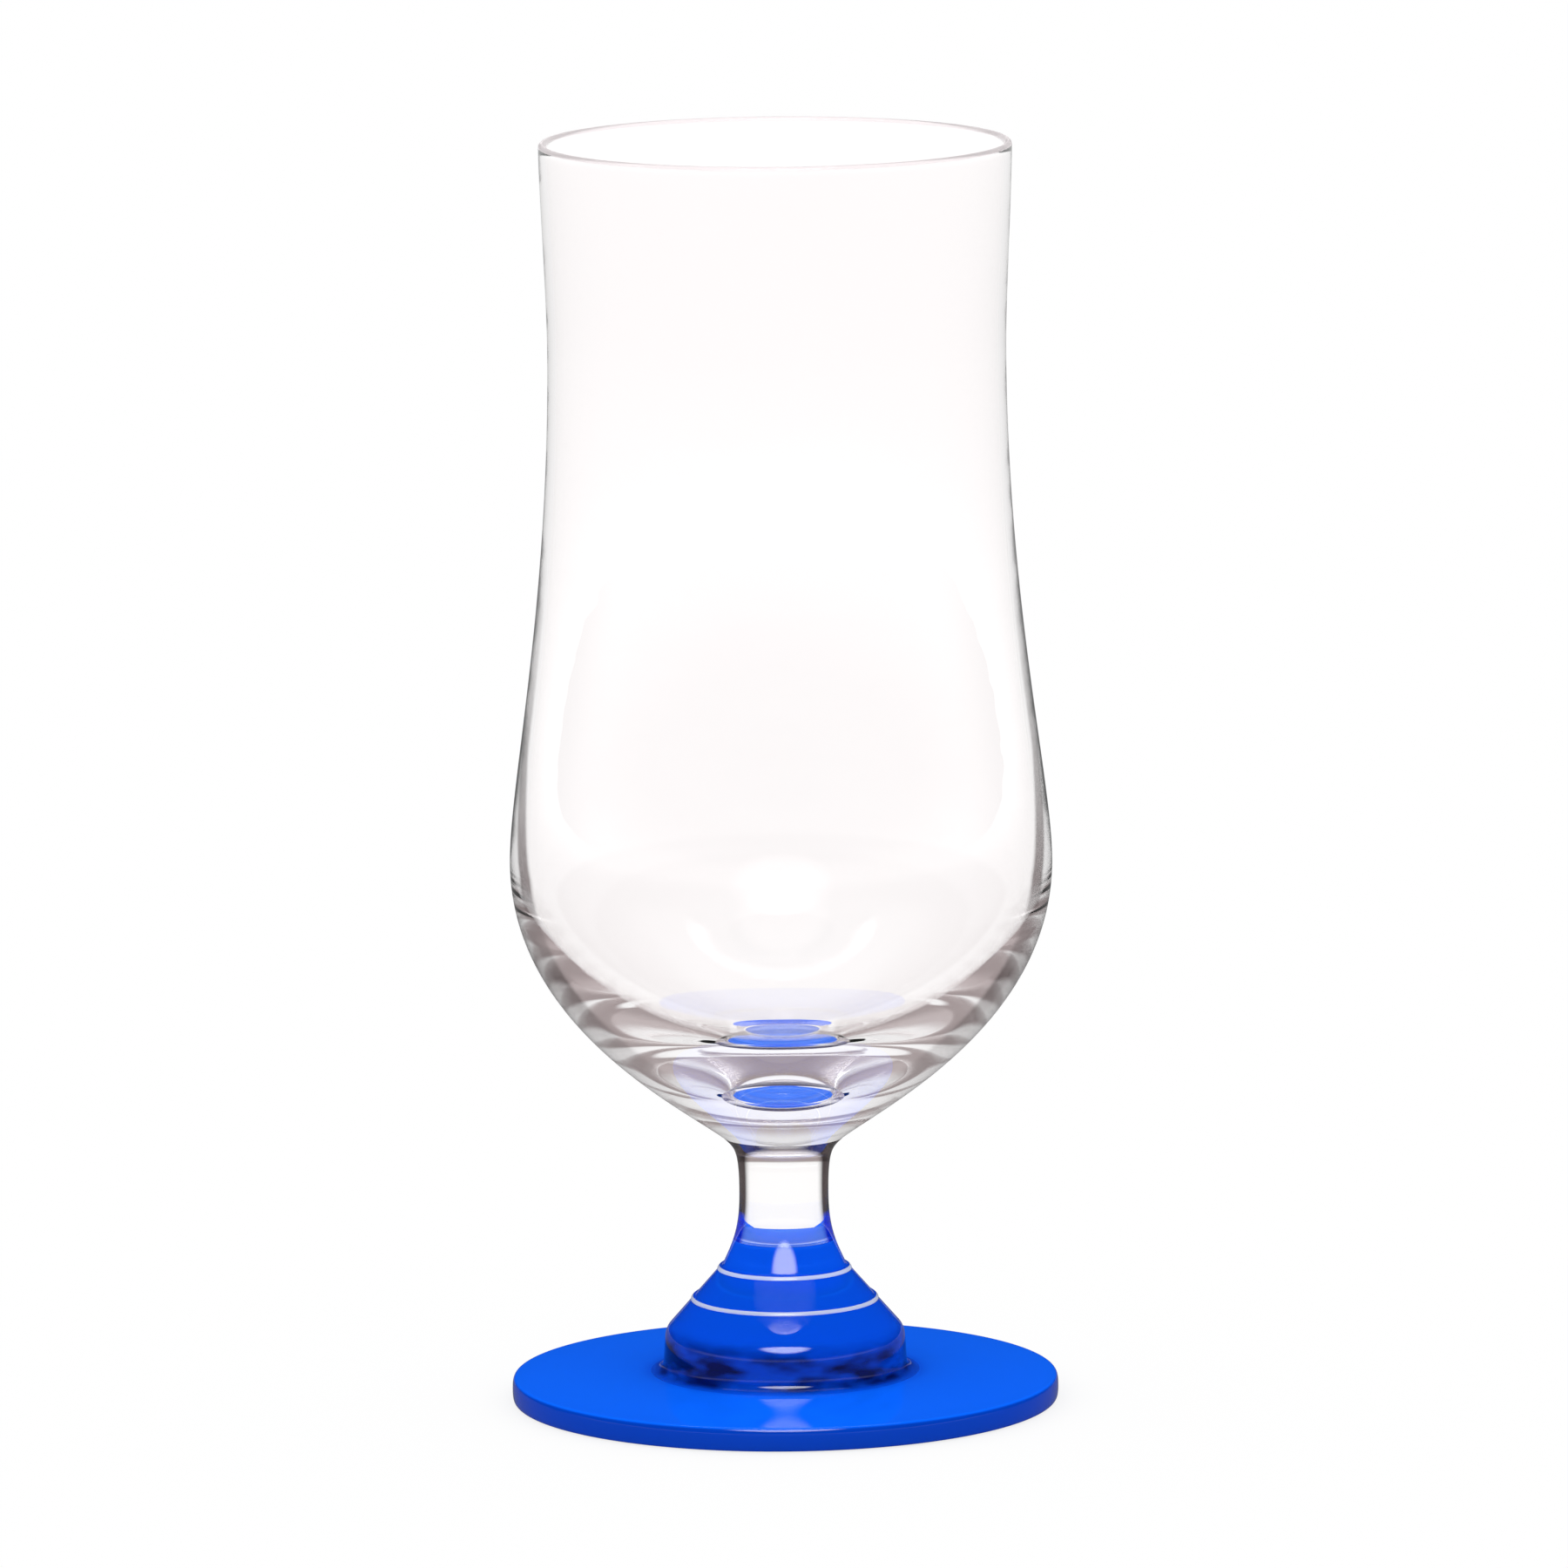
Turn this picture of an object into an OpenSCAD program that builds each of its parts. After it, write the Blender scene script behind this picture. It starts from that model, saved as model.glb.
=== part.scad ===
// Hurricane glass: a clear blown bowl on a short solid stem, fused into a blue pressed foot.
// Millimetres, +Z up, with the origin on the table under the middle of the foot.
// Every piece is turned about Z, so each one is an outline of [radius, height] points.

/* [Bowl] */
// Height from the table to the rim
height = 190; // [184:1:204]
// Outside diameter at the rim
rim_d = 70.4; // [68:0.2:76]
// Lean of the wall at the rim, in degrees from upright
rim_flare = 0.5; // [0:0.5:4]
// Outside diameter at the waist, the narrowest place above the belly
waist_d = 68.3; // [64:0.1:72]
// Height of the waist
waist_z = 159; // [152:0.5:166]
// Outside diameter at the belly
belly_d = 81.2; // [77:0.1:88]
// Height of the belly
belly_z = 81.8; // [78:0.2:88]
// Thickness of the wall at the rim
rim_wall = 1.1; // [0.8:0.1:1.6]
// Thickness of the wall at the waist
waist_wall = 1.2; // [0.9:0.1:2]
// Thickness of the wall at the belly
belly_wall = 1.9; // [1.2:0.1:3]
// Height of the inside floor above the table
floor_z = 50.5; // [48:0.5:55]

/* [Stem] */
// Diameter where the stem meets the bowl
neck_d = 18.2; // [16:0.1:20]
// Height where the stem meets the bowl
neck_z = 39.9; // [38:0.1:42]
// Rise of the stem's domed top into the bowl
neck_rise = 1.2; // [0.6:0.2:2]
// Diameter of the stem at its narrowest
stem_d = 13.4; // [12:0.2:14.4]
// Height of the stem at its narrowest
stem_z = 31.5; // [30:0.5:34]

/* [Foot] */
// Diameter of the foot at the cup that holds the stem
cup_d = 15.3; // [15:0.1:15.8]
// Height of the cup's edge
cup_z = 24.3; // [23.6:0.1:25.2]
// Depth of the cup below its edge
cup_depth = 1; // [0.6:0.1:2]
// Diameter of the hub at its collar, where the flare steepens
collar_d = 18.4; // [17.8:0.1:19.2]
// Height of the collar
collar_z = 20.6; // [20:0.1:21.4]
// Diameter at the end of the cone under the collar
cone_d = 34.8; // [34:0.2:35.8]
// Height of the end of the cone
cone_z = 11.2; // [10.6:0.2:12.4]
// Diameter at the lower end of the steep skirt under the cone
skirt_d = 36.8; // [36.2:0.2:37.4]
// Height of the lower end of the skirt
skirt_z = 5.4; // [5.1:0.1:5.9]
// Diameter at which the hub has run out into the disc
disc_top_d = 40.4; // [39.6:0.2:44]
// Height at which the hub has run out into the disc
disc_top_z = 4.2; // [4:0.1:4.4]
// Diameter of the foot over its edge
foot_d = 82.2; // [76:0.2:90]
// Thickness of the foot at its edge
edge_t = 3.5; // [3:0.05:3.8]
// Width of the flat ring that the foot stands on
stand_w = 5; // [3:0.5:8]
// Rise of the hollow under the foot
hollow_rise = 1.6; // [0.4:0.2:2.2]
// Width of each tool ring on the hub
ring_w = 0.9; // [0.6:0.1:1.4]
// Height of each tool ring above the hub
ring_rise = 0.22; // [0.1:0.02:0.4]

/* [Hidden] */

// Straight pieces in each curve of an outline
curve_steps = 14;
// Straight pieces round a full turn
turn_steps = 120;

clear_glass = [0.90, 0.93, 0.95, 0.45];
blue_glass = [0.04, 0.36, 0.98];

rim_r = rim_d / 2;
waist_r = waist_d / 2;
belly_r = belly_d / 2;
neck_r = neck_d / 2;
stem_r = stem_d / 2;
cup_r = cup_d / 2;
collar_r = collar_d / 2;
foot_r = foot_d / 2;

// Ends of the wall under its rounded lip
lip_r = rim_wall / 2;
lip_z = height - lip_r;
lip_step = 22.5;
belly_inner_r = belly_r - belly_wall;
waist_inner_r = waist_r - waist_wall;
rim_inner_r = rim_r - rim_wall;

// How far each curve is pulled along its end directions, as a share of its span
rim_pull = 0.23 * (lip_z - waist_z);
waist_top_pull = 0.26 * (lip_z - waist_z);
waist_low_pull = 0.5 * (waist_z - belly_z);
belly_top_pull = 0.155 * (waist_z - belly_z);
belly_low_pull = 0.565 * (belly_z - neck_z);
neck_pull = 0.22 * (belly_z - neck_z);
neck_slope = 37;
floor_pull = 0.5 * belly_inner_r;
belly_inner_pull = 0.52 * (belly_z - floor_z);
flare_dir = [sin(rim_flare), cos(rim_flare)];

// Slope of the side where the stem meets the foot, in degrees from upright
cup_slope = 17.8;
cup_side = [sin(cup_slope), -cos(cup_slope)];

// The stem: it leaves the bowl at 45 degrees, runs upright at its waist and flares to the cup
stem_neck_pull = [1.6, 1.6];
stem_top_pull = [0, 0.8 * (neck_z - stem_z)];
stem_waist_pull = [0, 0.4 * (stem_z - cup_z)];
stem_cup_pull = 0.33 * (stem_z - cup_z) * cup_side;

// The hub above its collar goes on from the side of the stem
hub_cup_pull = 0.4 * (cup_z - collar_z) * cup_side;
hub_collar_pull = [-0.5, 1.1];

// The cone of the hub, from the collar down to its end, and its run-out into the disc
collar = [collar_r, collar_z];
cone_end = [cone_d / 2, cone_z];
cone_dir = (cone_end - collar) / norm(cone_end - collar);
cone_out = [-cone_dir[1], cone_dir[0]];
// Shares of the cone's length at which the tool rings sit
high_ring_at = 0.07;
low_ring_at = 0.56;

// The steep skirt under the cone, and the fillet by which it runs out into the disc
skirt_end = [skirt_d / 2, skirt_z];
skirt_slope = 11;
skirt_dir = [sin(skirt_slope), -cos(skirt_slope)];
disc_top = [disc_top_d / 2, disc_top_z];
cone_end_pull = 1.6 * cone_dir;
skirt_top_pull = 1.8 * skirt_dir;
skirt_low_pull = 0.7 * skirt_dir;

// The edge of the disc and the ring that it stands on
edge_round = 0.2 * edge_t;
stand_round = 0.12 * edge_t;
edge_top = [foot_r - edge_round, edge_t];
edge_side = [foot_r, 0.5 * edge_t];
stand_outer = [foot_r - stand_round, 0];
stand_inner = stand_outer - [stand_w, 0];
disc_dir = (edge_top - disc_top) / norm(edge_top - disc_top);
disc_top_pull = 0.9 * disc_dir;
edge_top_pull = 0.65 * edge_round * disc_dir;
edge_side_pull = [0, 0.44 * edge_t];
stand_outer_pull = [0.6 * stand_round, 0];
hollow_pull = [foot_r / 3, 0];

// A cubic curve from a to d, pulled towards b and c, without its first point
function curve(a, b, c, d) = [
    for (i = [1 : curve_steps])
        let (t = i / curve_steps, s = 1 - t)
        s * s * s * a + 3 * s * s * t * b + 3 * s * t * t * c + t * t * t * d
];

// The outline of a round cap, from its middle to its edge, rising (or sinking) in the middle
function cap(edge_r, edge_z, rise) =
    let (ball_r = (edge_r * edge_r + rise * rise) / (2 * rise), half_angle = asin(edge_r / ball_r))
    [
        for (i = [0 : curve_steps])
            let (a = half_angle * i / curve_steps)
            [ball_r * sin(a), edge_z + rise - ball_r * (1 - cos(a))]
    ];

function reversed(points) = [for (i = [len(points) - 1 : -1 : 0]) points[i]];

// A low tool ring on the cone, from its upper side to its lower side, about the point given
function tool_ring(middle) =
    let (upper = middle - cone_dir * ring_w / 2, lower = middle + cone_dir * ring_w / 2)
    let (lift = cone_out * ring_rise * 4 / 3)
    concat([upper], curve(upper, upper + lift, lower + lift, lower));

// The faces that the pieces share
neck_cap = cap(neck_r, neck_z, neck_rise);
cup_cap = cap(cup_r, cup_z, -cup_depth);

module turned(outline) rotate_extrude($fn = turn_steps) polygon(outline);

// The bowl: outside from the neck to the rim, over the lip, and down the inside to the floor
module bowl() {
    neck = [neck_r, neck_z];
    belly = [belly_r, belly_z];
    waist = [waist_r, waist_z];
    rim = [rim_r, lip_z];
    belly_inner = [belly_inner_r, belly_z];
    waist_inner = [waist_inner_r, waist_z];
    rim_inner = [rim_inner_r, lip_z];
    lip_middle = [rim_r - lip_r, lip_z];
    lip = [for (a = [lip_step : lip_step : 180 - lip_step]) lip_middle + lip_r * [cos(a), sin(a)]];
    neck_dir = [cos(neck_slope), sin(neck_slope)];
    outside = concat(
        curve(neck, neck + neck_pull * neck_dir, belly - [0, belly_low_pull], belly),
        curve(belly, belly + [0, belly_top_pull], waist - [0, waist_low_pull], waist),
        curve(waist, waist + [0, waist_top_pull], rim - rim_pull * flare_dir, rim)
    );
    inside = concat(
        [rim_inner],
        curve(rim_inner, rim_inner - rim_pull * flare_dir, waist_inner + [0, waist_top_pull], waist_inner),
        curve(waist_inner, waist_inner - [0, waist_low_pull], belly_inner + [0, belly_top_pull],
            belly_inner),
        curve(belly_inner, belly_inner - [0, belly_inner_pull], [floor_pull, floor_z], [0, floor_z])
    );
    color(clear_glass)
        turned(concat(neck_cap, outside, lip, inside));
}

// The stem: a domed top in the bowl, a waist, and a flared, domed end in the foot's cup
module stem() {
    neck = [neck_r, neck_z];
    narrow = [stem_r, stem_z];
    cup_edge = [cup_r, cup_z];
    side = concat(
        curve(neck, neck - stem_neck_pull, narrow + stem_top_pull, narrow),
        curve(narrow, narrow - stem_waist_pull, cup_edge - stem_cup_pull, cup_edge)
    );
    color(clear_glass)
        turned(concat(neck_cap, side, reversed([for (i = [0 : curve_steps - 1]) cup_cap[i]])));
}

// The foot: a cup, a flared hub with two tool rings, a skirt, a thin disc and a hollow underside
module foot() {
    cup_edge = [cup_r, cup_z];
    hub = curve(cup_edge, cup_edge + hub_cup_pull, collar + hub_collar_pull, collar);
    upper_ring = tool_ring(collar + high_ring_at * (cone_end - collar));
    lower_ring = tool_ring(collar + low_ring_at * (cone_end - collar));
    skirt = curve(cone_end, cone_end + cone_end_pull, skirt_end - skirt_top_pull, skirt_end);
    fillet = curve(skirt_end, skirt_end + skirt_low_pull, disc_top - disc_top_pull, disc_top);
    edge = concat(
        [edge_top],
        curve(edge_top, edge_top + edge_top_pull, edge_side + edge_side_pull, edge_side),
        curve(edge_side, edge_side - edge_side_pull, stand_outer + stand_outer_pull, stand_outer)
    );
    hollow_top = [0, hollow_rise];
    hollow = curve(stand_inner, stand_inner - hollow_pull, hollow_top + hollow_pull, hollow_top);
    color(blue_glass)
        turned(concat(cup_cap, hub, upper_ring, lower_ring, [cone_end], skirt, fillet, edge,
            [stand_inner], hollow));
}

bowl();
stem();
foot();
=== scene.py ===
import math
from collections import namedtuple

import bpy
from mathutils import Matrix, Vector


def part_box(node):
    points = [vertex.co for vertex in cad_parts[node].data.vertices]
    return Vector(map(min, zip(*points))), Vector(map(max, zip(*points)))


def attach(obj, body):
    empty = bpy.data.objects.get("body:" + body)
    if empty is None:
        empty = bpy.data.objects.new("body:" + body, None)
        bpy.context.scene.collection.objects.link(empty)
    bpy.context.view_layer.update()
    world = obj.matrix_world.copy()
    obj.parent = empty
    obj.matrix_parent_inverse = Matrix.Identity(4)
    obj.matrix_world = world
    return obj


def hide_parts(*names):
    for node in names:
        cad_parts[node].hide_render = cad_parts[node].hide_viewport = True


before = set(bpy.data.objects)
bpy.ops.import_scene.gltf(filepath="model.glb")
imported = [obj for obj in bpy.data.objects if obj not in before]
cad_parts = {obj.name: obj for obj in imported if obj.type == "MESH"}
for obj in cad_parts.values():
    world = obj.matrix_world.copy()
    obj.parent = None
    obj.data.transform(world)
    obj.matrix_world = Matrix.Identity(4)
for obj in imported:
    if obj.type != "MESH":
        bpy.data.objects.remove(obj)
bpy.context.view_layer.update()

# Units
MM = 0.001

# Sizes of the glass in metres, read from the frame where its boxes show them
bowl_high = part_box("bowl")[1]
foot_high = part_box("foot")[1]
HEIGHT = bowl_high.z
BELLY_R = bowl_high.x
FOOT_R = foot_high.x
CUP_Z = foot_high.z

# The bowl: sizes, and how far each curve is pulled along its ends, as a share of its span
RIM_R = 35.2 * MM
RIM_FLARE = math.radians(0.5)
WAIST_R = 34.15 * MM
WAIST_Z = 159.0 * MM
BELLY_Z = 81.8 * MM
RIM_WALL = 1.1 * MM
WAIST_WALL = 1.2 * MM
BELLY_WALL = 1.9 * MM
FLOOR_Z = 50.5 * MM
RIM_PULL = 0.23
WAIST_TOP_PULL = 0.26
WAIST_LOW_PULL = 0.5
BELLY_TOP_PULL = 0.155
BELLY_LOW_PULL = 0.565
NECK_PULL = 0.22
BELLY_INNER_PULL = 0.52
FLOOR_PULL = 0.5

# The stem
NECK_R = 9.1 * MM
NECK_Z = 39.9 * MM
NECK_RISE = 1.2 * MM
NECK_SLOPE = math.radians(37)
STEM_R = 6.7 * MM
STEM_Z = 31.5 * MM
STEM_NECK_PULL = Vector((1.6, 1.6)) * MM
STEM_TOP_PULL = 0.8
STEM_WAIST_PULL = 0.4
STEM_CUP_PULL = 0.33

# The foot, with its corners as [radius, height]
CUP_R = 7.65 * MM
CUP_DEPTH = 1.0 * MM
CUP_SLOPE = math.radians(17.8)
COLLAR = Vector((9.2, 20.6)) * MM
CONE_END = Vector((17.4, 11.2)) * MM
SKIRT_END = Vector((18.4, 5.4)) * MM
SKIRT_SLOPE = math.radians(11)
DISC_TOP = Vector((20.2, 4.2)) * MM
EDGE_T = 3.5 * MM
EDGE_ROUND = 0.2 * EDGE_T
STAND_ROUND = 0.12 * EDGE_T
STAND_W = 5.0 * MM
HOLLOW_RISE = 1.6 * MM
HUB_CUP_PULL = 0.4
HUB_COLLAR_PULL = Vector((-0.5, 1.1)) * MM
CONE_END_PULL = 1.6 * MM
SKIRT_TOP_PULL = 1.8 * MM
SKIRT_LOW_PULL = 0.7 * MM
DISC_TOP_PULL = 0.9 * MM
EDGE_TOP_PULL = 0.65 * EDGE_ROUND
EDGE_SIDE_PULL = 0.44 * EDGE_T
STAND_PULL = 0.6 * STAND_ROUND
HOLLOW_PULL = FOOT_R / 3

# The tool rings on the cone of the hub. A cubic curve rises to three quarters of its pull
RING_W = 0.9 * MM
RING_RISE = 0.22 * MM
RING_PULL = RING_RISE * 4 / 3
RINGS_AT = (0.07, 0.56)

# Pieces of fused glass reach this far into each other, so that no film of air shows in the joints
FUSE = 0.03 * MM

# Steps of the turned meshes
TURN_STEPS = 192
LONG_STEPS = 60
SHORT_STEPS = 24
RING_STEPS = 10
SHARP_ANGLE = math.radians(35)
WELD = 0.002 * MM

# All the glass. Clearness is the share of the light that goes through, and the rest is scattered
GLASS_IOR = 1.5
PLAIN_SPECULAR = 0.5
POLISHED = (0.0, 0.02)
WAVE_SQUEEZE = (1, 1, 2.5)
WIPE_RANGE = (0.35, 0.75)
# Each noise by its scale and detail. The scale of the waves is each glass's own
WAVE_DETAIL = 1
DRIFT_NOISE = (25, 2)
WIPE_NOISE = (180, 3)
STREAK_NOISE = (120, 2)

# The clear glass of the bowl
BOWL_TINT = (0.998, 0.985, 0.985)
BOWL_DRIFT = (0.99, 0.972, 0.972)
BOWL_WAVES = (60, 0.02 * MM)

# The dark band along the edge of the bowl's wall is painted shade: its strength at rising heights, and the
# turn of the surface from the view at which it starts, is full, falls off and ends, first where the wall is
# thick and then where it is thin
WALL_SHADE = (0.09, 0.07, 0.07)
WALL_EDGE = ((46 * MM, 0.05), (57 * MM, 0.5), (67 * MM, 0.95), (74 * MM, 0.45), (80.5 * MM, 1.0),
             (88 * MM, 0.95), (101 * MM, 0.78), (110 * MM, 0.55), (128 * MM, 0.0))
BAND_SOLID_Z = BELLY_Z - 8 * MM
BAND_THICK_Z = BELLY_Z
BAND_THIN_Z = BELLY_Z + 19 * MM
BAND_START = (0.60, 0.735)
BAND_FULL = (0.645, 0.78)
BAND_FALL = (0.72, 0.852)
BAND_END = (0.765, 0.90)
# What is left of the band between its end and the outline, low down and from the belly up
BAND_REST = (0.9, 0.1)

# The lip, paler and softer than the wall under it, with painted light that pales it further where it is
# seen edge on
LIP_TINT = (0.84, 0.775, 0.785)
LIP_DRIFT = (0.81, 0.745, 0.755)
LIP_EDGE_LIGHT = ((0.97, 0.91, 0.92), 0.60, 0.9)
LIP_POLISH = (0.3, 0.5)
LIP_CLEARNESS = 0.5
LIP_SPECULAR = 0.05

# The clear glass of the stem, with painted shade along its edges that turns into a painted reflection of
# the foot's blue just above it
STEM_TINT = (0.998, 0.985, 0.982)
STEM_DRIFT = (0.99, 0.975, 0.97)
STEM_WAVES = (90, 0.02 * MM)
STEM_SHADE = (0.006, 0.0035, 0.0035)
STEM_EDGE_SHADE = (STEM_SHADE, 0.34, 0.52)
STEM_FOOT_REFLECTION = (0.0002, 0.012, 0.5)
STEM_CLEAR_OVER = CUP_Z + 4.6 * MM
STEM_BLUE_UNDER = CUP_Z + 3.4 * MM

# The blue glass of the foot
BLUE = (0.003, 0.143, 1.0)
BLUE_DRIFT = (0.0025, 0.134, 1.0)
BLUE_WAVES = (90, 0.015 * MM)
# Painted shade: a deeper blue where the foot is seen edge on
BLUE_EDGE_SHADE = ((0.001, 0.06, 0.55), 0.86, 1.0)
BLUE_SPECULAR = 0.2
HUB_CLEARNESS = 0.5
DISC_CLEARNESS = 0.2
# The thick hub is deeper in colour, out to where it runs into the disc
HUB_BLUE = (0.002, 0.104, 0.88)
HUB_BLUE_OUT = DISC_TOP.x + 2 * MM
HUB_BLUE_FULL = DISC_TOP.x - 1 * MM
HUB_BLUE_OVER = HOLLOW_RISE + 0.1 * MM
# Painted light: the cup is painted paler, so that light comes back through the stem
CUP_PAINTED_LIGHT = (0.015, 0.2, 1)
CUP_BLUE_WITHIN = CUP_R - WELD
CUP_BLUE_OVER = CUP_Z - 2 * CUP_DEPTH
# Painted highlights along the crests of the tool rings
RING_HIGHLIGHT = (0.8, 0.86, 1.0)
RING_HIGHLIGHT_HALF = 0.3 * RING_W
# Painted shade in streaks where the skirt meets the disc
CORNER_SHADE_BLUE = (0.0003, 0.006, 0.08)
CORNER_SHADE_TOP = SKIRT_END.y + 6.6 * MM
CORNER_SHADE_FULL_UNDER = SKIRT_END.y + 3.0 * MM
CORNER_SHADE_OUT = SKIRT_END.x + 1.6 * MM
CORNER_SHADE_FULL_WITHIN = SKIRT_END.x + 0.2 * MM
CORNER_SHADE_OVER = 0.9 * DISC_TOP.y
STREAK_STRETCH = (1, 1, 3)
STREAK_RANGE = (0.38, 0.62)
STREAK_LEAST = 0.25
# Painted shade along the side of the disc's edge
DISC_EDGE_SHADE = (0.0006, 0.046, 0.45)
DISC_EDGE_FULL_UNDER = 0.88 * EDGE_T
DISC_EDGE_BEYOND = FOOT_R - EDGE_T / 2

# Studio light: the colour of the surroundings at rising elevations in degrees
WALLS = (0.37, 0.31, 0.31)
UPPER_WALLS = (0.50, 0.43, 0.43)
STUDIO = ((3, (1, 1, 1)), (6.5, WALLS), (17, WALLS), (26, UPPER_WALLS), (34, UPPER_WALLS),
          (50, (0.9, 0.9, 0.9)))
PLAIN_LIGHT = 1.5
# Mirrored surroundings are dark, but for a white horizon towards the camera and the soft box over it
MIRROR_DARK = 0.012
MIRROR_DARK_OVER = math.radians(5)
MIRROR_BEHIND_Y = 0.4
MIRROR_AHEAD_Y = -0.2
SOFT_BOX_ELEVATION = math.radians(41)
SOFT_BOX_INNER = math.radians(14)
SOFT_BOX_OUTER = math.radians(24)
SOFT_BOX_STRENGTH = 1.4
SOFT_BOX_MIRRORED = 14

# The floor: it keeps a shadow close to the glass, and its mirror image is dim out to a few metres
FLOOR_HALF = 6.0
FLOOR_DROP = 0.2 * MM
PAPER = 0.66
SHADOW_WITHIN = 0.05
SHADOW_OUT = 0.16
WHITE_SHARE_AT_GLASS = 0.8
TABLE_FOR_GLASS = 1.05
TABLE_MIRRORED = 0.15
TABLE_DIM_WITHIN = 0.3
TABLE_DIM_OUT = 3.0

# Camera: distance along Y, height, sideways offset, tilt below level, roll and lens
CAMERA_BACK = 1.9718
CAMERA_HEIGHT = 0.4047
CAMERA_SIDE = 0.00054
CAMERA_TILT = math.radians(8.972)
CAMERA_ROLL = math.radians(0.487)
CAMERA_LENS_MM = 306.4
CAMERA_CLIP = (0.05, 50)
SENSOR_MM = 36.0

# Light crosses the thick glass many times before it leaves
MOST_BOUNCES = 48
MIRROR_BOUNCES = 32

# Places of the colour sockets on a Mix node
MIX_FIRST = 6
MIX_SECOND = 7
MIX_RESULT = 2


# Outlines of [radius, height] points

def curve(start, pull_start, pull_end, end, steps):
    """Points of a cubic curve without its first one."""
    points = []
    for i in range(1, steps + 1):
        t = i / steps
        s = 1 - t
        points.append(s**3 * start + 3 * s * s * t * pull_start + 3 * s * t * t * pull_end + t**3 * end)
    return points


def cap(edge_r, edge_z, rise, steps):
    """Points of a round cap from its middle to its edge. A negative rise sinks."""
    ball_r = (edge_r * edge_r + rise * rise) / (2 * rise)
    half_angle = math.asin(edge_r / ball_r)
    points = []
    for i in range(steps + 1):
        a = half_angle * i / steps
        points.append(Vector((ball_r * math.sin(a), edge_z + rise - ball_r * (1 - math.cos(a)))))
    return points


def up(length):
    return Vector((0, length))


def out(length):
    return Vector((length, 0))


def bowl_outline():
    """Outside from the neck to the rim, over the lip, and down the inside to the floor."""
    lip_r = RIM_WALL / 2
    lip_z = HEIGHT - lip_r
    neck = Vector((NECK_R, NECK_Z))
    belly = Vector((BELLY_R, BELLY_Z))
    waist = Vector((WAIST_R, WAIST_Z))
    rim = Vector((RIM_R, lip_z))
    belly_inner = belly - out(BELLY_WALL)
    waist_inner = waist - out(WAIST_WALL)
    rim_inner = rim - out(RIM_WALL)
    floor = Vector((0, FLOOR_Z))
    neck_pull = NECK_PULL * (BELLY_Z - NECK_Z) * Vector((math.cos(NECK_SLOPE), math.sin(NECK_SLOPE)))
    belly_low_pull = up(BELLY_LOW_PULL * (BELLY_Z - NECK_Z))
    belly_top_pull = up(BELLY_TOP_PULL * (WAIST_Z - BELLY_Z))
    waist_low_pull = up(WAIST_LOW_PULL * (WAIST_Z - BELLY_Z))
    waist_top_pull = up(WAIST_TOP_PULL * (lip_z - WAIST_Z))
    rim_pull = RIM_PULL * (lip_z - WAIST_Z) * Vector((math.sin(RIM_FLARE), math.cos(RIM_FLARE)))
    belly_inner_pull = up(BELLY_INNER_PULL * (BELLY_Z - FLOOR_Z))
    floor_pull = out(FLOOR_PULL * belly_inner.x)

    points = cap(NECK_R, NECK_Z, NECK_RISE, SHORT_STEPS)
    points += curve(neck, neck + neck_pull, belly - belly_low_pull, belly, LONG_STEPS)
    points += curve(belly, belly + belly_top_pull, waist - waist_low_pull, waist, LONG_STEPS)
    points += curve(waist, waist + waist_top_pull, rim - rim_pull, rim, SHORT_STEPS)
    lip_middle = rim - out(lip_r)
    for i in range(1, RING_STEPS + 1):
        a = math.pi * i / RING_STEPS
        points.append(lip_middle + lip_r * Vector((math.cos(a), math.sin(a))))
    points += curve(rim_inner, rim_inner - rim_pull, waist_inner + waist_top_pull, waist_inner, SHORT_STEPS)
    points += curve(waist_inner, waist_inner - waist_low_pull, belly_inner + belly_top_pull, belly_inner,
                    LONG_STEPS)
    points += curve(belly_inner, belly_inner - belly_inner_pull, floor + floor_pull, floor, LONG_STEPS)
    return points


def stem_outline():
    """A domed top in the bowl, a waist, and a flared, domed end in the foot's cup."""
    neck = Vector((NECK_R, NECK_Z))
    narrow = Vector((STEM_R, STEM_Z))
    cup_edge = Vector((CUP_R, CUP_Z))
    top_pull = up(STEM_TOP_PULL * (NECK_Z - STEM_Z))
    waist_pull = up(STEM_WAIST_PULL * (STEM_Z - CUP_Z))
    cup_pull = STEM_CUP_PULL * (STEM_Z - CUP_Z) * Vector((-math.sin(CUP_SLOPE), math.cos(CUP_SLOPE)))
    points = [p + up(FUSE) for p in cap(NECK_R, NECK_Z, NECK_RISE, SHORT_STEPS)]
    points.append(neck)
    points += curve(neck, neck - STEM_NECK_PULL, narrow + top_pull, narrow, LONG_STEPS)
    points += curve(narrow, narrow - waist_pull, cup_edge + cup_pull, cup_edge, SHORT_STEPS)
    points += [p - up(FUSE) for p in reversed(cap(CUP_R - FUSE, CUP_Z, -CUP_DEPTH, SHORT_STEPS))]
    return points[::-1]


def tool_ring(share):
    """A low ring across the cone of the hub, at a share of its length."""
    cone_dir = (CONE_END - COLLAR).normalized()
    lift = RING_PULL * Vector((-cone_dir.y, cone_dir.x))
    middle = COLLAR.lerp(CONE_END, share)
    upper = middle - cone_dir * RING_W / 2
    lower = middle + cone_dir * RING_W / 2
    return [upper] + curve(upper, upper + lift, lower + lift, lower, RING_STEPS)


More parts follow.
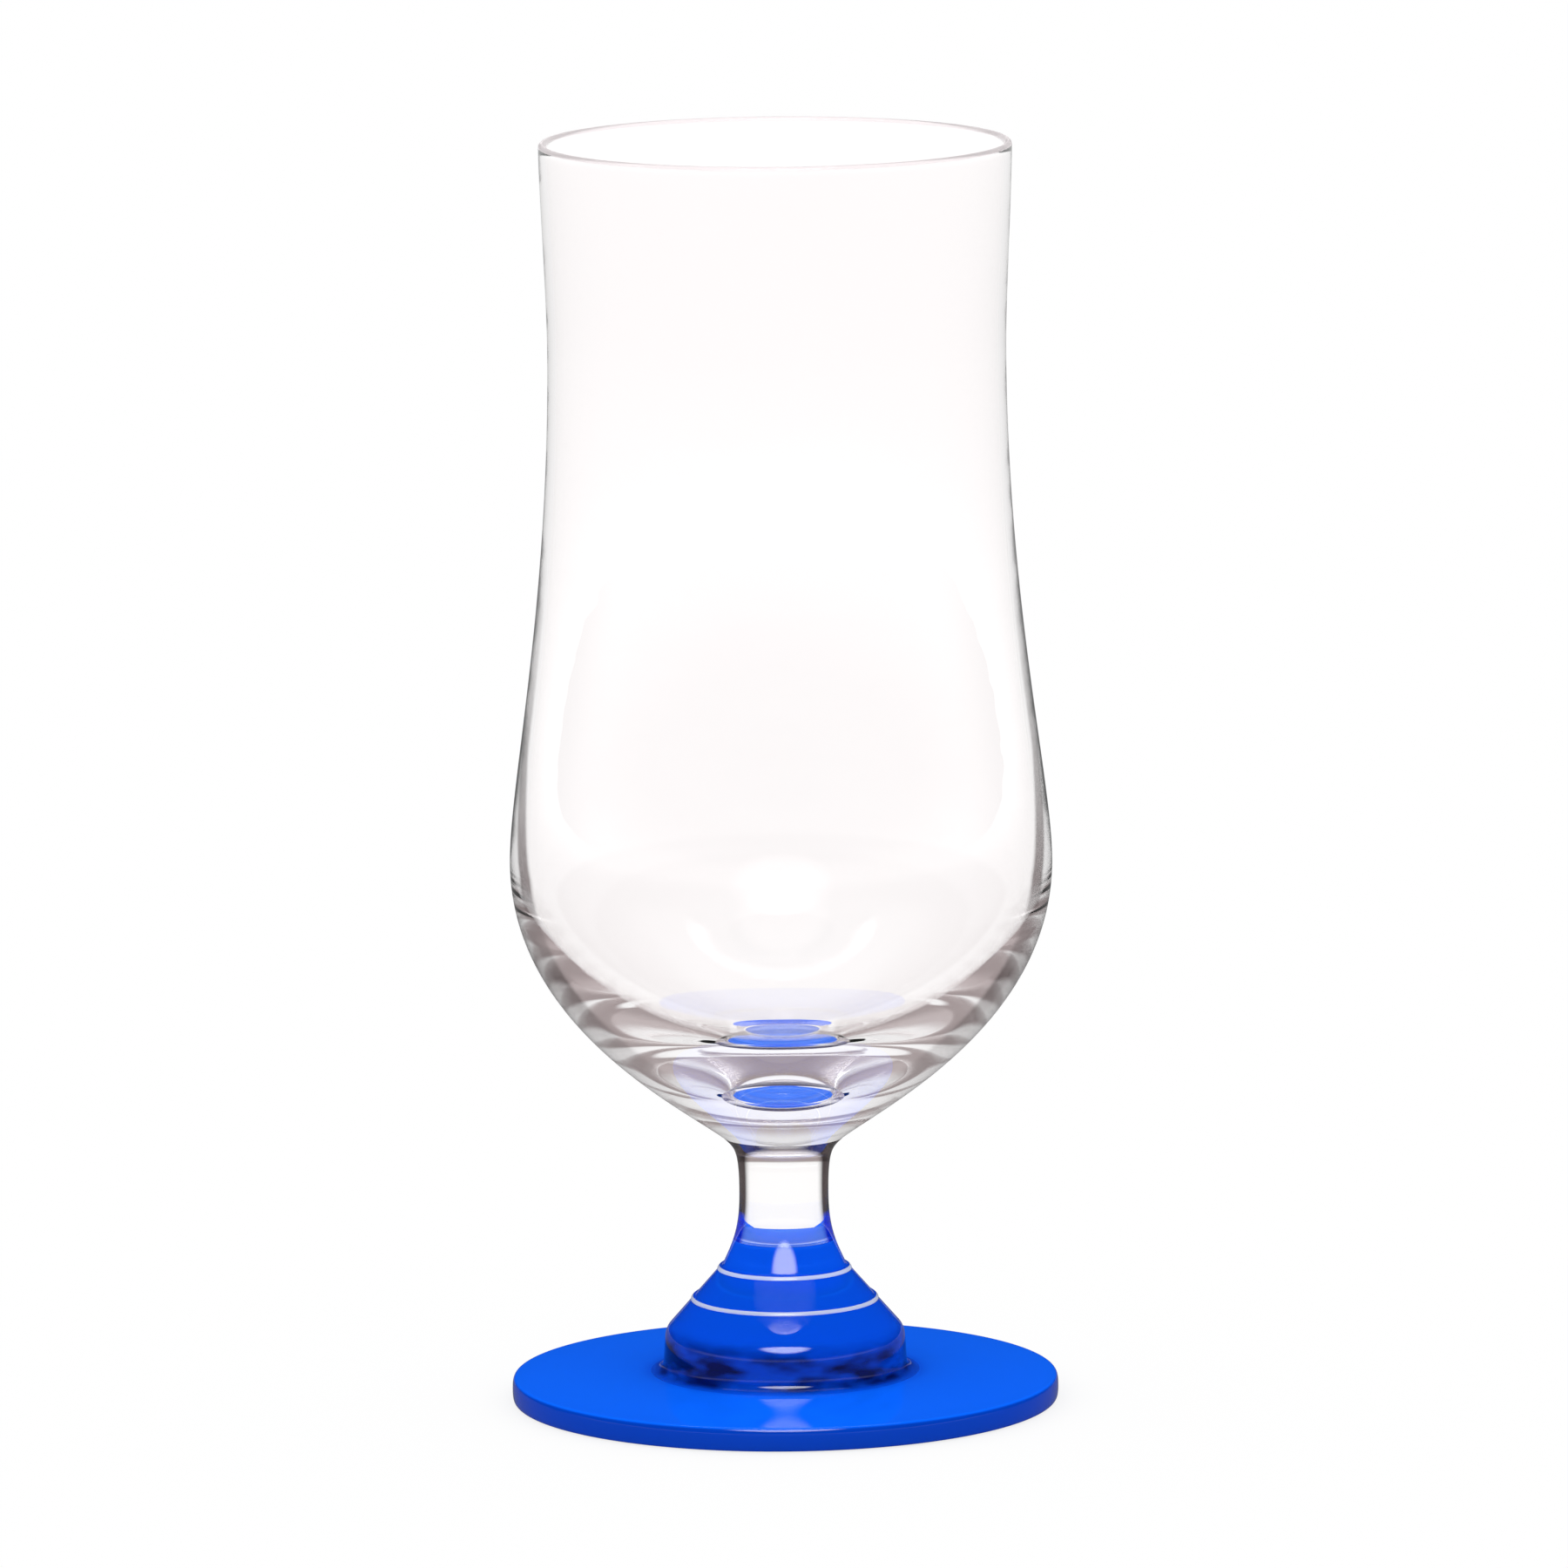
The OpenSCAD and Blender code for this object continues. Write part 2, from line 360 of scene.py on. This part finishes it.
def foot_outline():
    """A cup, a flared hub with its tool rings, a skirt, a thin disc and a hollow underside."""
    cup_edge = Vector((CUP_R, CUP_Z))
    edge_top = Vector((FOOT_R - EDGE_ROUND, EDGE_T))
    edge_side = Vector((FOOT_R, EDGE_T / 2))
    stand_outer = Vector((FOOT_R - STAND_ROUND, 0))
    stand_inner = stand_outer - out(STAND_W)
    hollow_top = Vector((0, HOLLOW_RISE))
    cup_dir = Vector((math.sin(CUP_SLOPE), -math.cos(CUP_SLOPE)))
    cone_dir = (CONE_END - COLLAR).normalized()
    skirt_dir = Vector((math.sin(SKIRT_SLOPE), -math.cos(SKIRT_SLOPE)))
    disc_dir = (edge_top - DISC_TOP).normalized()
    side_pull = up(EDGE_SIDE_PULL)

    points = cap(CUP_R, CUP_Z, -CUP_DEPTH, SHORT_STEPS)
    points += curve(cup_edge, cup_edge + HUB_CUP_PULL * (CUP_Z - COLLAR.y) * cup_dir,
                    COLLAR + HUB_COLLAR_PULL, COLLAR, LONG_STEPS)
    for share in RINGS_AT:
        points += tool_ring(share)
    points.append(CONE_END.copy())
    points += curve(CONE_END, CONE_END + CONE_END_PULL * cone_dir, SKIRT_END - SKIRT_TOP_PULL * skirt_dir,
                    SKIRT_END, SHORT_STEPS)
    points += curve(SKIRT_END, SKIRT_END + SKIRT_LOW_PULL * skirt_dir, DISC_TOP - DISC_TOP_PULL * disc_dir,
                    DISC_TOP, SHORT_STEPS)
    points += [DISC_TOP.lerp(edge_top, i / SHORT_STEPS) for i in range(1, SHORT_STEPS + 1)]
    points += curve(edge_top, edge_top + EDGE_TOP_PULL * disc_dir, edge_side + side_pull, edge_side,
                    SHORT_STEPS)
    points += curve(edge_side, edge_side - side_pull, stand_outer + out(STAND_PULL), stand_outer,
                    SHORT_STEPS)
    points.append(stand_inner)
    points += curve(stand_inner, stand_inner - out(HOLLOW_PULL), hollow_top + out(HOLLOW_PULL), hollow_top,
                    LONG_STEPS)
    return points[::-1]


# Nodes

def feed(tree, socket, value):
    """Links a socket to another node's output, or sets its plain value."""
    if isinstance(value, bpy.types.NodeSocket):
        tree.links.new(value, socket)
    else:
        socket.default_value = value


def add_node(tree, kind, inputs=None, **settings):
    """A new node with its settings, and its inputs as plain values or as other nodes' outputs."""
    node = tree.nodes.new(kind)
    for name, value in settings.items():
        setattr(node, name, value)
    for place, value in (inputs or {}).items():
        feed(tree, node.inputs[place], value)
    return node


def add_sockets(tree, in_out, **kinds):
    """Names a group's inputs or outputs. An underscore stands for a space in the name."""
    for name, kind in kinds.items():
        tree.interface.new_socket(name.replace("_", " "), in_out=in_out, socket_type="NodeSocket" + kind)


def calculate(tree, operation, first, second):
    return add_node(tree, "ShaderNodeMath", {0: first, 1: second}, operation=operation).outputs[0]


def product(tree, first, *others):
    for other in others:
        first = calculate(tree, "MULTIPLY", first, other)
    return first


def between(tree, value, start, end, low=0.0, high=1.0, shape="SMOOTHSTEP"):
    """Goes from low to high as the value goes from start to end."""
    inputs = {"Value": value, "From Min": start, "From Max": end, "To Min": low, "To Max": high}
    return add_node(tree, "ShaderNodeMapRange", inputs, interpolation_type=shape).outputs[0]


def opaque(colour):
    return (*colour, 1)


def mix_colours(tree, factor, first, second):
    """The first colour where the factor is 0, and the second where it is 1."""
    inputs = {"Factor": factor, MIX_FIRST: first, MIX_SECOND: second}
    return add_node(tree, "ShaderNodeMix", inputs, data_type="RGBA").outputs[MIX_RESULT]


def colour_ramp(tree, value, stops):
    """The colours of the stops, each given with its place from 0 to 1."""
    ramp = add_node(tree, "ShaderNodeValToRGB", {"Fac": value})
    elements = ramp.color_ramp.elements
    for place, colour in stops[2:]:
        elements.new(place)
    for element, (place, colour) in zip(elements, stops):
        element.position = place
        element.color = opaque(colour)
    return ramp.outputs["Color"]


def noise(tree, where, scale, detail):
    inputs = {"Vector": where, "Scale": scale, "Detail": detail}
    return add_node(tree, "ShaderNodeTexNoise", inputs).outputs["Fac"]


def scaled(tree, where, scale):
    return add_node(tree, "ShaderNodeMapping", {"Vector": where, "Scale": scale}).outputs[0]


def object_place(tree):
    return add_node(tree, "ShaderNodeTexCoord").outputs["Object"]


def parts(tree, vector):
    return add_node(tree, "ShaderNodeSeparateXYZ", {0: vector}).outputs


def square_to_axis(tree, part):
    """The part of a place that points straight out from the axis of the glass."""
    return add_node(tree, "ShaderNodeCombineXYZ", {0: part["X"], 1: part["Y"]}).outputs[0]


def vector_length(tree, vector):
    return add_node(tree, "ShaderNodeVectorMath", {0: vector}, operation="LENGTH").outputs["Value"]


def dot_product(tree, first, second):
    inputs = {0: first, 1: second}
    return add_node(tree, "ShaderNodeVectorMath", inputs, operation="DOT_PRODUCT").outputs["Value"]


def mirrored_only(tree, path):
    """1 for a ray that was last mirrored by a surface, 0 for one that came through it."""
    inputs = {0: path.outputs["Is Glossy Ray"], 1: path.outputs["Is Transmission Ray"]}
    return add_node(tree, "ShaderNodeMath", inputs, operation="SUBTRACT", use_clamp=True).outputs[0]


# Geometry Nodes: an outline turned into a closed glass body

def turning_tree():
    """A tree that turns an outline about Z, welds the seam and the poles, and smooths the faces."""
    tree = bpy.data.node_groups.new("turned_glass", "GeometryNodeTree")
    add_sockets(tree, "INPUT", Outline="Geometry", Turn_Steps="Int", Weld_Distance="Float",
                Sharp_Angle="Float", Glass="Material")
    add_sockets(tree, "OUTPUT", Body="Geometry")
    given = add_node(tree, "NodeGroupInput").outputs

    # A grid with one row along the outline for each step of the turn
    count = add_node(tree, "GeometryNodeAttributeDomainSize", {"Geometry": given["Outline"]},
                     component="MESH").outputs["Point Count"]
    columns = add_node(tree, "FunctionNodeIntegerMath", {0: given["Turn Steps"], 1: 1}, operation="ADD")
    grid = add_node(tree, "GeometryNodeMeshGrid", {"Vertices X": columns.outputs[0], "Vertices Y": count})

    # Each grid point takes its outline point and its angle
    index = add_node(tree, "GeometryNodeInputIndex").outputs[0]
    along = add_node(tree, "FunctionNodeIntegerMath", {0: index, 1: count}, operation="MODULO")
    step = add_node(tree, "FunctionNodeIntegerMath", {0: index, 1: count}, operation="DIVIDE_FLOOR")
    share = calculate(tree, "DIVIDE", step.outputs[0], given["Turn Steps"])
    angle = calculate(tree, "MULTIPLY", share, 2 * math.pi)
    place = add_node(tree, "GeometryNodeInputPosition").outputs[0]
    sample = add_node(tree, "GeometryNodeSampleIndex",
                      {"Geometry": given["Outline"], "Value": place, "Index": along.outputs[0]},
                      data_type="FLOAT_VECTOR", domain="POINT")
    turn = add_node(tree, "ShaderNodeVectorRotate", {"Vector": sample.outputs[0], "Angle": angle},
                    rotation_type="Z_AXIS")
    put = add_node(tree, "GeometryNodeSetPosition",
                   {"Geometry": grid.outputs["Mesh"], "Position": turn.outputs[0]})

    # The seam and the poles are welded, and only true corners stay sharp
    weld = add_node(tree, "GeometryNodeMergeByDistance",
                    {"Geometry": put.outputs[0], "Distance": given["Weld Distance"]})
    smooth = add_node(tree, "GeometryNodeSetShadeSmooth", {"Geometry": weld.outputs[0]}, domain="FACE")
    bend = add_node(tree, "GeometryNodeInputMeshEdgeAngle")
    corner = add_node(tree, "FunctionNodeCompare",
                      {"A": bend.outputs["Unsigned Angle"], "B": given["Sharp Angle"]},
                      data_type="FLOAT", operation="GREATER_THAN")
    sharpen = add_node(tree, "GeometryNodeSetShadeSmooth",
                       {"Geometry": smooth.outputs[0], "Selection": corner.outputs[0],
                        "Shade Smooth": False}, domain="EDGE")
    realize = add_node(tree, "GeometryNodeRealizeInstances", {"Geometry": sharpen.outputs[0]})
    finish = add_node(tree, "GeometryNodeSetMaterial",
                      {"Geometry": realize.outputs[0], "Material": given["Glass"]})
    add_node(tree, "NodeGroupOutput", {"Body": finish.outputs[0]})
    return tree


def turned_piece(name, outline, tree, glass):
    """One closed piece of glass, turned from its outline by the tree."""
    mesh = bpy.data.meshes.new(name)
    points = [(p.x, 0, p.y) for p in outline]
    mesh.from_pydata(points, [(i, i + 1) for i in range(len(points) - 1)], [])
    piece = bpy.data.objects.new(name, mesh)
    bpy.context.scene.collection.objects.link(piece)
    values = {"Turn Steps": TURN_STEPS, "Weld Distance": WELD, "Sharp Angle": SHARP_ANGLE, "Glass": glass}
    modifier = piece.modifiers.new("turn", "NODES")
    modifier.node_group = tree
    for item in tree.interface.items_tree:
        if item.in_out == "INPUT" and item.name in values:
            modifier[item.identifier] = values[item.name]
    graph = bpy.context.evaluated_depsgraph_get()
    turned = bpy.data.meshes.new_from_object(piece.evaluated_get(graph), depsgraph=graph)
    turned.name = name
    # The grid comes with an empty material slot in front of the glass
    for place in reversed(range(len(turned.materials))):
        if turned.materials[place] is None:
            turned.materials.pop(index=place)
    piece.modifiers.remove(modifier)
    piece.data = turned
    return piece


def second_finish(piece, material, chosen):
    """Gives a second material to the faces whose middles are chosen."""
    piece.data.materials.append(material)
    place = len(piece.data.materials) - 1
    for face in piece.data.polygons:
        if chosen(face.center):
            face.material_index = place


# Glass

Glass = namedtuple("Glass", "material tree shader facing rise shade")


def glass_finish_group():
    """Faint waves, a soft drift of tint and a little uneven polish, on object coordinates in metres."""
    group = bpy.data.node_groups.new("glass_finish", "ShaderNodeTree")
    add_sockets(group, "INPUT", Tint="Color", Drift_Tint="Color", Wave_Scale="Float",
                Least_Roughness="Float", Most_Roughness="Float")
    add_sockets(group, "OUTPUT", Color="Color", Roughness="Float", Height="Float")
    given = add_node(group, "NodeGroupInput").outputs
    where = object_place(group)

    # Waves run round the piece, so they are squeezed along its height
    squeezed = scaled(group, where, WAVE_SQUEEZE)
    waves = noise(group, squeezed, given["Wave Scale"], WAVE_DETAIL)

    # The tint drifts over a few centimetres
    drift = noise(group, where, *DRIFT_NOISE)
    tint = mix_colours(group, drift, given["Tint"], given["Drift Tint"])

    # Fine wiping marks in the polish
    wipe = noise(group, squeezed, *WIPE_NOISE)
    polish = between(group, wipe, *WIPE_RANGE, given["Least Roughness"], given["Most Roughness"],
                     shape="LINEAR")
    add_node(group, "NodeGroupOutput", {"Color": tint, "Roughness": polish, "Height": waves})
    return group


def empty_material(name):
    material = bpy.data.materials.new(name)
    material.use_nodes = True
    material.node_tree.nodes.clear()
    return material


def glass_material(name, group, tint, drift, waves, edge, clearness=1.0, specular=PLAIN_SPECULAR,
                   polish=POLISHED):
    """Glass with the shared finish. waves gives their scale and height, edge the tint painted where the
    glass is seen edge on, as painted shade or painted light, and the turn from the view at which it starts
    and is full."""
    material = empty_material(name)
    tree = material.node_tree
    wave_scale, wave_height = waves
    edge_tint, edge_start, edge_full = edge
    finish = add_node(tree, "ShaderNodeGroup",
                      {"Tint": opaque(tint), "Drift Tint": opaque(drift), "Wave Scale": wave_scale,
                       "Least Roughness": polish[0], "Most Roughness": polish[1]}, node_tree=group)
    bump = add_node(tree, "ShaderNodeBump",
                    {"Strength": 1.0, "Distance": wave_height, "Height": finish.outputs["Height"]})
    # The tint seen edge on is painted shade, or painted light on the lip
    facing = add_node(tree, "ShaderNodeLayerWeight").outputs["Facing"]
    rise = add_node(tree, "ShaderNodeMapRange",
                    {"Value": facing, "From Min": edge_start, "From Max": edge_full},
                    interpolation_type="SMOOTHSTEP")
    shade = add_node(tree, "ShaderNodeMix",
                     {"Factor": rise.outputs[0], MIX_FIRST: finish.outputs["Color"],
                      MIX_SECOND: opaque(edge_tint)}, data_type="RGBA")
    shader = add_node(tree, "ShaderNodeBsdfPrincipled",
                      {"Base Color": shade.outputs[MIX_RESULT], "Roughness": finish.outputs["Roughness"],
                       "Normal": bump.outputs["Normal"], "IOR": GLASS_IOR,
                       "Transmission Weight": clearness, "Specular IOR Level": specular})
    add_node(tree, "ShaderNodeOutputMaterial", {"Surface": shader.outputs["BSDF"]})
    return Glass(material, tree, shader, facing, rise, shade)


def bowl_glass(group):
    # The dark band along the outline of the wall is painted shade
    glass = glass_material("bowl_glass", group, BOWL_TINT, BOWL_DRIFT, BOWL_WAVES,
                           (WALL_SHADE, BAND_START[0], BAND_FULL[0]))
    tree = glass.tree
    part = parts(tree, object_place(tree))

    # The band ends before the outline, where the wall's own edge shows
    fall = add_node(tree, "ShaderNodeMapRange", {"Value": glass.facing, "To Min": 1.0},
                    interpolation_type="SMOOTHSTEP")

    # The wall is thinner higher up, so the band lies nearer to the outline there
    moves = ((glass.rise, "From Min", BAND_THICK_Z, BAND_THIN_Z, BAND_START),
             (glass.rise, "From Max", BAND_THICK_Z, BAND_THIN_Z, BAND_FULL),
             (fall, "From Min", BAND_THICK_Z, BAND_THIN_Z, BAND_FALL),
             (fall, "From Max", BAND_THICK_Z, BAND_THIN_Z, BAND_END),
             (fall, "To Max", BAND_SOLID_Z, BELLY_Z, BAND_REST))
    for node, socket, low_z, high_z, values in moves:
        feed(tree, node.inputs[socket], between(tree, part["Z"], low_z, high_z, *values, shape="LINEAR"))

    # It is strongest about the belly and fades towards the waist and the neck
    level = calculate(tree, "DIVIDE", part["Z"], HEIGHT)
    strength = colour_ramp(tree, level, [(z / HEIGHT, (share,) * 3) for z, share in WALL_EDGE])

    # Only the outside of the wall shows it: there the normal points away from the axis
    normal = add_node(tree, "ShaderNodeNewGeometry").outputs["Normal"]
    outside = calculate(tree, "GREATER_THAN", dot_product(tree, normal, square_to_axis(tree, part)), 0)
    shown = product(tree, glass.rise.outputs[0], fall.outputs[0], strength, outside)
    feed(tree, glass.shade.inputs["Factor"], shown)
    return glass.material


def lip_glass(group):
    # Its paler tint seen edge on is painted light
    return glass_material("lip_glass", group, LIP_TINT, LIP_DRIFT, BOWL_WAVES, LIP_EDGE_LIGHT,
                          clearness=LIP_CLEARNESS, specular=LIP_SPECULAR, polish=LIP_POLISH).material


def stem_glass(group):
    glass = glass_material("stem_glass", group, STEM_TINT, STEM_DRIFT, STEM_WAVES, STEM_EDGE_SHADE)
    tree = glass.tree
    height = parts(tree, object_place(tree))["Z"]
    # Painted shade along the edges, which turns into a painted reflection of the foot's blue low down
    flare = between(tree, height, STEM_CLEAR_OVER, STEM_BLUE_UNDER)
    edge = mix_colours(tree, flare, opaque(STEM_SHADE), opaque(STEM_FOOT_REFLECTION))
    feed(tree, glass.shade.inputs[MIX_SECOND], edge)
    return glass.material


def blue_glass(name, group, clearness):
    glass = glass_material(name, group, BLUE, BLUE_DRIFT, BLUE_WAVES, BLUE_EDGE_SHADE, clearness=clearness,
                           specular=BLUE_SPECULAR)
    tree = glass.tree
    where = object_place(tree)
    part = parts(tree, where)
    height = part["Z"]
    radius = vector_length(tree, square_to_axis(tree, part))

    # The hub
    thick = between(tree, radius, HUB_BLUE_OUT, HUB_BLUE_FULL)
    on_top = calculate(tree, "GREATER_THAN", height, HUB_BLUE_OVER)
    colour = mix_colours(tree, product(tree, thick, on_top), glass.shade.outputs[MIX_RESULT],
                         opaque(HUB_BLUE))

    # The cup, painted paler: painted light
    within = calculate(tree, "LESS_THAN", radius, CUP_BLUE_WITHIN)
    in_cup = product(tree, within, calculate(tree, "GREATER_THAN", height, CUP_BLUE_OVER))
    colour = mix_colours(tree, in_cup, colour, opaque(CUP_PAINTED_LIGHT))

    # Painted highlights on the crests of the tool rings
    for share in RINGS_AT:
        crest = COLLAR.lerp(CONE_END, share)
        near = add_node(tree, "ShaderNodeMath", {0: height, 1: crest.y, 2: RING_HIGHLIGHT_HALF},
                        operation="COMPARE")
        colour = mix_colours(tree, near.outputs[0], colour, opaque(RING_HIGHLIGHT))

    # Painted shade in streaks where the skirt meets the disc
    low = between(tree, height, CORNER_SHADE_TOP, CORNER_SHADE_FULL_UNDER)
    inner = between(tree, radius, CORNER_SHADE_OUT, CORNER_SHADE_FULL_WITHIN)
    above = calculate(tree, "GREATER_THAN", height, CORNER_SHADE_OVER)
    streak = noise(tree, scaled(tree, where, STREAK_STRETCH), *STREAK_NOISE)
    strong = between(tree, streak, *STREAK_RANGE, STREAK_LEAST, 1.0, shape="LINEAR")
    colour = mix_colours(tree, product(tree, low, inner, above, strong), colour, opaque(CORNER_SHADE_BLUE))

    # Painted shade along the edge of the disc
    side = between(tree, height, EDGE_T, DISC_EDGE_FULL_UNDER)
    at_edge = product(tree, side, calculate(tree, "GREATER_THAN", radius, DISC_EDGE_BEYOND))
    colour = mix_colours(tree, at_edge, colour, opaque(DISC_EDGE_SHADE))
    feed(tree, glass.shader.inputs["Base Color"], colour)
    return glass.material


# Stage

def stage_floor():
    """A white floor that keeps the shadow of the glass close to it and runs out to plain white."""
    mesh = bpy.data.meshes.new("floor")
    sides = ((-1, -1), (1, -1), (1, 1), (-1, 1))
    corners = [(x * FLOOR_HALF, y * FLOOR_HALF, -FLOOR_DROP) for x, y in sides]
    mesh.from_pydata(corners, [], [(0, 1, 2, 3)])
    floor = bpy.data.objects.new("floor", mesh)
    bpy.context.scene.collection.objects.link(floor)
    material = empty_material("floor_white")
    tree = material.node_tree
    away = vector_length(tree, object_place(tree))
    path = add_node(tree, "ShaderNodeLightPath")

    # The share of plain white: most of it near the glass and all of it further out and in the glass
    fade = between(tree, away, SHADOW_WITHIN, SHADOW_OUT, WHITE_SHARE_AT_GLASS, 1.0)
    seen = product(tree, path.outputs["Is Camera Ray"], fade)
    glassy = calculate(tree, "MAXIMUM", path.outputs["Is Glossy Ray"], path.outputs["Is Transmission Ray"])
    share = calculate(tree, "MAXIMUM", seen, glassy)

    # Its strength: a little over white through the glass, and dim where it is mirrored from close by
    bright = between(tree, glassy, 0, 1, 1.0, TABLE_FOR_GLASS, shape="LINEAR")
    near = between(tree, away, TABLE_DIM_WITHIN, TABLE_DIM_OUT, TABLE_MIRRORED - 1, 0)
    dim = add_node(tree, "ShaderNodeMath", {0: near, 1: mirrored_only(tree, path), 2: 1},
                   operation="MULTIPLY_ADD")
    white = add_node(tree, "ShaderNodeEmission",
                     {"Color": (1, 1, 1, 1), "Strength": product(tree, bright, dim.outputs[0])})
    paper = add_node(tree, "ShaderNodeBsdfDiffuse", {"Color": (PAPER, PAPER, PAPER, 1)})
    mix = add_node(tree, "ShaderNodeMixShader",
                   {"Fac": share, 1: paper.outputs["BSDF"], 2: white.outputs["Emission"]})
    add_node(tree, "ShaderNodeOutputMaterial", {"Surface": mix.outputs[0]})
    floor.data.materials.append(material)


def world_light():
    """A studio: white at the horizon, dim walls, a bright ceiling and a soft box over the camera."""
    world = bpy.data.worlds.new("studio")
    bpy.context.scene.world = world
    world.use_nodes = True
    tree = world.node_tree
    tree.nodes.clear()
    where = add_node(tree, "ShaderNodeTexCoord").outputs["Generated"]
    part = parts(tree, where)
    path = add_node(tree, "ShaderNodeLightPath")
    mirrored = mirrored_only(tree, path)

    # What is seen through the glass, and what it mirrors
    stops = [(math.sin(math.radians(elevation)), colour) for elevation, colour in STUDIO]
    walls = colour_ramp(tree, part["Z"], stops)
    horizon = between(tree, part["Z"], 0, math.sin(MIRROR_DARK_OVER), 1, 0)
    ahead = between(tree, part["Y"], MIRROR_BEHIND_Y, MIRROR_AHEAD_Y)
    gloom = between(tree, product(tree, horizon, ahead), 0, 1, MIRROR_DARK, 1, shape="LINEAR")
    around = mix_colours(tree, mirrored, walls, gloom)

    # The soft box shows brightest as a highlight
    aim = (0, -math.cos(SOFT_BOX_ELEVATION), math.sin(SOFT_BOX_ELEVATION))
    towards = dot_product(tree, where, aim)
    glow = between(tree, towards, math.cos(SOFT_BOX_OUTER), math.cos(SOFT_BOX_INNER))
    shine = between(tree, mirrored, 0, 1, SOFT_BOX_STRENGTH, SOFT_BOX_MIRRORED, shape="LINEAR")
    studio = add_node(tree, "ShaderNodeMix",
                      {"Factor": 1, MIX_FIRST: around, MIX_SECOND: product(tree, glow, shine)},
                      data_type="RGBA", blend_type="ADD").outputs[MIX_RESULT]

    # All other rays meet an even, plain light
    seen = calculate(tree, "MAXIMUM", path.outputs["Is Camera Ray"], path.outputs["Is Glossy Ray"])
    seen = calculate(tree, "MAXIMUM", seen, path.outputs["Is Transmission Ray"])
    choice = mix_colours(tree, seen, (PLAIN_LIGHT, PLAIN_LIGHT, PLAIN_LIGHT, 1), studio)
    back = add_node(tree, "ShaderNodeBackground", {"Color": choice})
    add_node(tree, "ShaderNodeOutputWorld", {"Surface": back.outputs[0]})


def add_camera():
    camera = bpy.data.cameras.new("camera")
    camera.sensor_width = SENSOR_MM
    camera.lens = CAMERA_LENS_MM
    camera.clip_start, camera.clip_end = CAMERA_CLIP
    holder = bpy.data.objects.new("camera", camera)
    bpy.context.scene.collection.objects.link(holder)
    tilt = Matrix.Rotation(math.pi / 2 - CAMERA_TILT, 4, "X")
    roll = Matrix.Rotation(-CAMERA_ROLL, 4, "Z")
    holder.matrix_world = Matrix.Translation((CAMERA_SIDE, -CAMERA_BACK, CAMERA_HEIGHT)) @ tilt @ roll
    bpy.context.scene.camera = holder


scene = bpy.context.scene
scene.view_settings.view_transform = "Standard"
scene.cycles.max_bounces = MOST_BOUNCES
scene.cycles.glossy_bounces = MIRROR_BOUNCES
scene.cycles.transmission_bounces = MOST_BOUNCES
add_camera()
world_light()
stage_floor()

turning = turning_tree()
finish_group = glass_finish_group()
bowl = turned_piece("glass_bowl", bowl_outline(), turning, bowl_glass(finish_group))
stem = turned_piece("glass_stem", stem_outline(), turning, stem_glass(finish_group))
foot = turned_piece("glass_foot", foot_outline(), turning,
                    blue_glass("blue_hub", finish_group, HUB_CLEARNESS))
# The lip is softer than the wall and the disc denser than the hub, so each has a finish of its own
second_finish(bowl, lip_glass(finish_group), lambda middle: middle.z > HEIGHT - RIM_WALL / 2)
second_finish(foot, blue_glass("blue_disc", finish_group, DISC_CLEARNESS),
              lambda middle: middle.xy.length > DISC_TOP.x)
for piece, node, finish_slot in ((bowl, "bowl", "clear_glass"), (stem, "stem", "clear_glass"),
                                 (foot, "foot", "blue_glass")):
    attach(piece, "root")
    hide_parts(node)

# Clear glass lets the studio light through to the foot and the floor
for piece in (bowl, stem):
    piece.visible_shadow = False
    piece.visible_diffuse = False
